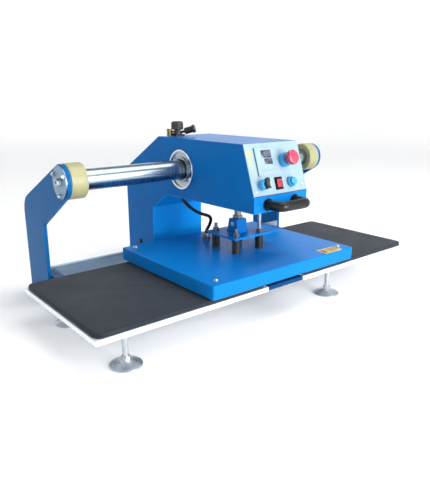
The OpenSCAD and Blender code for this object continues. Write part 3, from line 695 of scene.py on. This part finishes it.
def digits(name, text, x, s, w, hgt, gap):
    verts, faces = [], []
    t = w * 0.17

    def bar(cx, cy, lx, ly):
        k = len(verts)
        c = min(lx, ly) * 0.45
        o = [(-lx / 2 + c, -ly / 2), (lx / 2 - c, -ly / 2), (lx / 2, -ly / 2 + c), (lx / 2, ly / 2 - c), (lx / 2 - c, ly / 2), (-lx / 2 + c, ly / 2), (-lx / 2, ly / 2 - c), (-lx / 2, -ly / 2 + c)]
        for z in (2.86, 2.96):
            verts.extend(on_panel(0, 0) @ Vector(((cx + a) / 1000, (cy + b) / 1000, z / 1000)) for a, b in o)
        faces.append(tuple(k + 8 + i for i in range(8)))
        faces.append(tuple(k + 7 - i for i in range(8)))
        for i in range(8):
            faces.append((k + i, k + (i + 1) % 8, k + 8 + (i + 1) % 8, k + 8 + i))

    for n_, ch in enumerate(text):
        x0 = x + n_ * (w + gap)
        for seg in SEG[ch]:
            cx, cy = {"a": (w / 2, hgt), "g": (w / 2, hgt / 2), "d": (w / 2, 0), "f": (0, hgt * 0.75), "b": (w, hgt * 0.75), "e": (0, hgt * 0.25), "c": (w, hgt * 0.25)}[seg]
            if seg in "agd":
                bar(x0 + cx, s + cy, w - t * 1.2, t)
            else:
                bar(x0 + cx, s + cy, t, hgt / 2 - t * 1.2)
    ob = new_obj(name, verts, faces, smooth=False)
    return trim(ob, "carriage", digit_ink)


digits("digits_upper", "180", -42.5, 102.3, 6.2, 11.4, 3.4)
digits("digits_lower", "015", -35.0, 84.7, 4.6, 7.6, 2.6)
for i in range(5):
    kx = -52 + i * 12.2
    trim(slab("membrane_key_%d" % i, 9.6, 7.2, 1.6, 0.35, on_panel(kx, 64.5, 3.15), 0.2), "carriage", key_ink)
    v = [on_panel(kx, 64.5, 3.52) @ Vector((a / 1000, b / 1000, c / 1000)) for c in (0, 0.06) for a, b in ((-1.8, -1.2 if i % 2 else 1.2), (1.8, -1.2 if i % 2 else 1.2), (0, 1.8 if i % 2 else -1.8))]
    ob = new_obj("membrane_mark_%d" % i, v, [(0, 1, 2), (5, 4, 3), (0, 3, 4, 1), (1, 4, 5, 2), (2, 5, 3, 0)], smooth=False)
    trim(tidy(ob), "carriage", arrow_ink)
trim(slab("panel_label_upper", 13, 14, 0.8, 0.2, on_panel(-87.5, 111, 0), 0.08), "carriage", label_pale)
trim(slab("panel_label_lower", 8, 16, 0.8, 0.2, on_panel(-87, 89, 0), 0.08), "carriage", label_pale)
# painted shade: a dark strip in the seam under the panel, and one on the controller's shaded left side
trim(slab("panel_seam_shade_strip", 196, 2.0, 0.3, 0.6, on_panel(0, 1.0, -0.25), 0.1), "carriage", seam_shade_paint)
trim(slab("controller_shade_strip", 1.2, 73, 0.3, 2.9, on_panel(-68.65, 89, 0), 0.1), "carriage", side_shade_paint)

# ---------------------------------------------------------------- screws in the chrome rings
for m_ in (-1, 1):
    for k, a in enumerate((45, 135, 225, 315)):
        y, z = 339 + 44.5 * math.cos(math.radians(a)), 371 + 44.5 * math.sin(math.radians(a))
        screw("ring_screw_%s_%d" % ("l" if m_ < 0 else "r", k), x_axis(m_ * 101.4, y, z, flip=m_ < 0), 4.6, 3.2, "carriage", screw_zinc, 0.5)

# ---------------------------------------------------------------- nodes with rounded edges
EDGE = {
    "base_frame": 0.8, "bed_plate_left": 0.7, "bed_plate_right": 0.7, "end_plate_left": 1.0, "end_plate_right": 1.0,
    "shaft_flanges": 0.3, "flange_bolts": 0.35, "guide_rail": 0.6, "foot_front_left": 0.4, "foot_front_right": 0.4,
    "foot_rear_left": 0.4, "foot_rear_right": 0.4, "side_plate_left": 0.5, "side_plate_right": 0.5, "top_cover": 0.9,
    "underside_cover": 0.9, "front_plate": 0.9, "control_panel": 0.7, "bushing_flanges": 0.25, "cylinder_mount": 0.5,
    "temperature_controller": 0.35, "estop_collar": 0.4, "switch_bezels": 0.35, "rocker_frame": 0.3, "air_regulator": 0.5,
    "air_fittings": 0.3, "air_silencer": 0.3, "roller_bracket": 0.6, "roller_studs": 0.35, "cable_grommet": 0.4,
    "power_inlet": 0.3, "solenoid_valve": 0.5, "rail_roller_front": 0.3, "rail_roller_rear": 0.3, "estop_button": 0.4,
    "selector_knob": 0.5, "rocker_button": 0.4, "push_button": 0.4, "regulator_knob": 0.3, "rod_clevis": 0.8,
    "clevis_pin": 0.4, "link_plate": 0.9, "guide_rod": 0.4, "standoffs": 0.25, "standoff_nuts": 0.35, "hose_gland": 0.35,
    "piston_rod": 0.3, "heating_plate": 0.6,
}
for node, w in EDGE.items():
    refine(node, w)
for node, ob in N.items():
    paint(ob, MAT[SLOT[node]])
for node in ("air_regulator", "regulator_knob", "air_silencer", "standoffs", "solenoid_valve", "selector_knob"):
    paint(bpy.data.objects[node + "_shape"], satin_black)
paint(bpy.data.objects["roller_studs_shape"], satin_black)
# bushing rings: chrome with painted reflection and highlight bands
paint(bpy.data.objects["bushing_flanges_shape"], turned_ring_painted_reflection)
paint(bpy.data.objects["shaft_flanges_shape"], flange_steel)
# base frame: darker enamel copy, painted shade
paint(bpy.data.objects["base_frame_shape"], frame_shaded_enamel)
# platen cover, link plate and front plate: lighter enamel copy, painted light
paint(bpy.data.objects["platen_cover_shell"], lit_enamel_copy)
# underside cover: brighter enamel copy, painted light
paint(bpy.data.objects["underside_cover_shape"], throat_lit_enamel)
paint(bpy.data.objects["link_plate_shape"], lit_enamel_copy)
paint(bpy.data.objects["front_plate_shape"], lit_enamel_copy)
# end plates: darker enamel copy, painted shade
for node in ("end_plate_left", "end_plate_right"):
    paint(bpy.data.objects[node + "_shape"], end_plate_shaded_enamel)
paint(bpy.data.objects["estop_button_shape"], estop_cap)
for node in ("standoff_nuts", "hose_gland", "piston_rod"):
    paint(bpy.data.objects[node + "_shape"], dark_zinc)

# ---------------------------------------------------------------- stage and light
def bowl():
    rings, prof = [], [(0.01, 0.0), (1.0, 0.0), (2.5, 0.0), (4.6, 0.0)]
    prof += [(4.6 + 1.6 * math.sin(math.radians(a)), 1.6 - 1.6 * math.cos(math.radians(a))) for a in range(9, 91, 9)]
    prof += [(6.2, 3.0), (6.2, 4.2)]
    for r, z in prof:
        rings.append([Vector((r * math.cos(2 * math.pi * k / 96), r * math.sin(2 * math.pi * k / 96), z - 0.0002)) for k in range(96)])
    ob = loft("studio_floor", rings, cap=(True, False))
    m = Mat("studio_paper", rough=0.85, emit=(1.0, 1.0, 1.0))
    m.color(m.ramp(m.noise(0.6, 2, 0.5), [(0.3, (0.9, 0.905, 0.91)), (0.7, (0.93, 0.932, 0.935))]))
    up = m.node("SeparateXYZ", Vector=m.co).outputs["Z"]
    m.link(m.ramp(m.math("MULTIPLY", up, 0.5), [(0.0, 0.1), (0.35, 0.42)]), m.b.inputs["Emission Strength"])
    paint(ob, m.m)


bowl()

world = bpy.data.worlds.new("studio")
S.world = world
world.use_nodes = True
wt = world.node_tree
bg = wt.nodes["Background"]
tc = wt.nodes.new("ShaderNodeTexCoord")
sep = wt.nodes.new("ShaderNodeSeparateXYZ")
wr = wt.nodes.new("ShaderNodeValToRGB")
wt.links.new(tc.outputs["Generated"], sep.inputs[0])
wt.links.new(sep.outputs["Z"], wr.inputs[0])
wt.links.new(wr.outputs[0], bg.inputs[0])
wr.color_ramp.elements[0].position = 0.0
wr.color_ramp.elements[0].color = (0.8, 0.82, 0.86, 1)
wr.color_ramp.elements[1].position = 0.9
wr.color_ramp.elements[1].color = (1, 1, 1, 1)
bg.inputs[1].default_value = 0.34


def area(name, loc, target, size, power, color=(1, 1, 1), size_y=None):
    d = bpy.data.lights.new(name, "AREA")
    d.shape = "RECTANGLE"
    d.size = size
    d.size_y = size_y or size
    d.energy = power
    d.color = color
    o = bpy.data.objects.new(name, d)
    S.collection.objects.link(o)
    o.location = loc
    o.rotation_euler = (Vector(target) - Vector(loc)).to_track_quat("-Z", "Y").to_euler()
    return o


area("key_front", (0.7, -3.3, 1.15), (0, 0, 0.25), 2.2, 92)
area("low_front", (0.25, -3.2, 0.28), (0, 0.2, 0.2), 1.3, 62)
area("top_soft", (0.6, -0.6, 3.0), (0, 0, 0.1), 2.4, 60)
